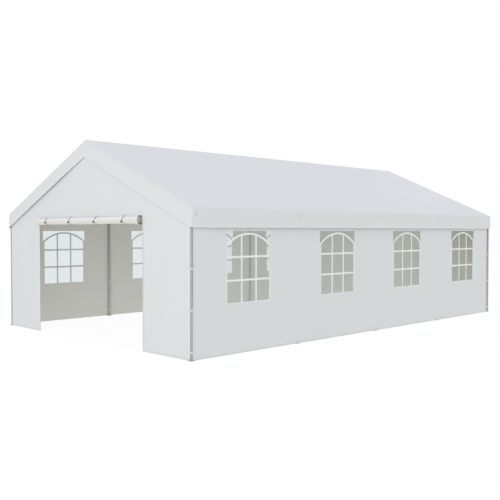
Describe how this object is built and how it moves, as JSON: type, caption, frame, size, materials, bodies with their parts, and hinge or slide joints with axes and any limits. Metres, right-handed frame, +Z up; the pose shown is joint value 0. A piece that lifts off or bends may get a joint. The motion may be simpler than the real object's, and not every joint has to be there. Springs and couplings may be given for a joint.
{
  "type": "marquee tent",
  "caption": "White party marquee with a ridge roof, valance, arched film windows in both long walls and a wide doorway with its door sheet rolled up.",
  "frame": {"origin": "on the ground, in the middle of the object's bounding box", "axes": "+Z up, -Y out of the end with the open doorway, +X to the right seen from that end"},
  "size_m": [5.09, 8.2278, 3.1],
  "materials": {
    "galvanised_steel": "dull galvanised tube",
    "white_sheeting": "coated woven sheeting, slight sheen",
    "clear_film": "clear flexible film"
  },
  "bodies": {
    "root": {"post_left_1": "galvanised_steel", "post_left_2": "galvanised_steel", "post_left_3": "galvanised_steel", "post_left_4": "galvanised_steel", "post_left_5": "galvanised_steel", "post_right_1": "galvanised_steel", "post_right_2": "galvanised_steel", "post_right_3": "galvanised_steel", "post_right_4": "galvanised_steel", "post_right_5": "galvanised_steel", "arch_1": "galvanised_steel", "arch_2": "galvanised_steel", "arch_3": "galvanised_steel", "arch_4": "galvanised_steel", "arch_5": "galvanised_steel", "left_eave_tube_1": "galvanised_steel", "left_eave_tube_2": "galvanised_steel", "left_eave_tube_3": "galvanised_steel", "left_eave_tube_4": "galvanised_steel", "right_eave_tube_1": "galvanised_steel", "right_eave_tube_2": "galvanised_steel", "right_eave_tube_3": "galvanised_steel", "right_eave_tube_4": "galvanised_steel", "ridge_tube_1": "galvanised_steel", "ridge_tube_2": "galvanised_steel", "ridge_tube_3": "galvanised_steel", "ridge_tube_4": "galvanised_steel", "left_slope_purlin": "galvanised_steel", "right_slope_purlin": "galvanised_steel", "roof_left": "white_sheeting", "roof_right": "white_sheeting", "left_valance": "white_sheeting", "right_valance": "white_sheeting", "front_valance": "white_sheeting", "back_valance": "white_sheeting", "left_wall": "white_sheeting", "right_wall": "white_sheeting", "front_gable": "white_sheeting", "front_panel_left": "white_sheeting", "front_panel_right": "white_sheeting", "rolled_door": "white_sheeting", "back_wall": "white_sheeting", "back_door": "white_sheeting", "left_window_film": "clear_film", "right_window_film": "clear_film"}
  },
  "joints": []
}
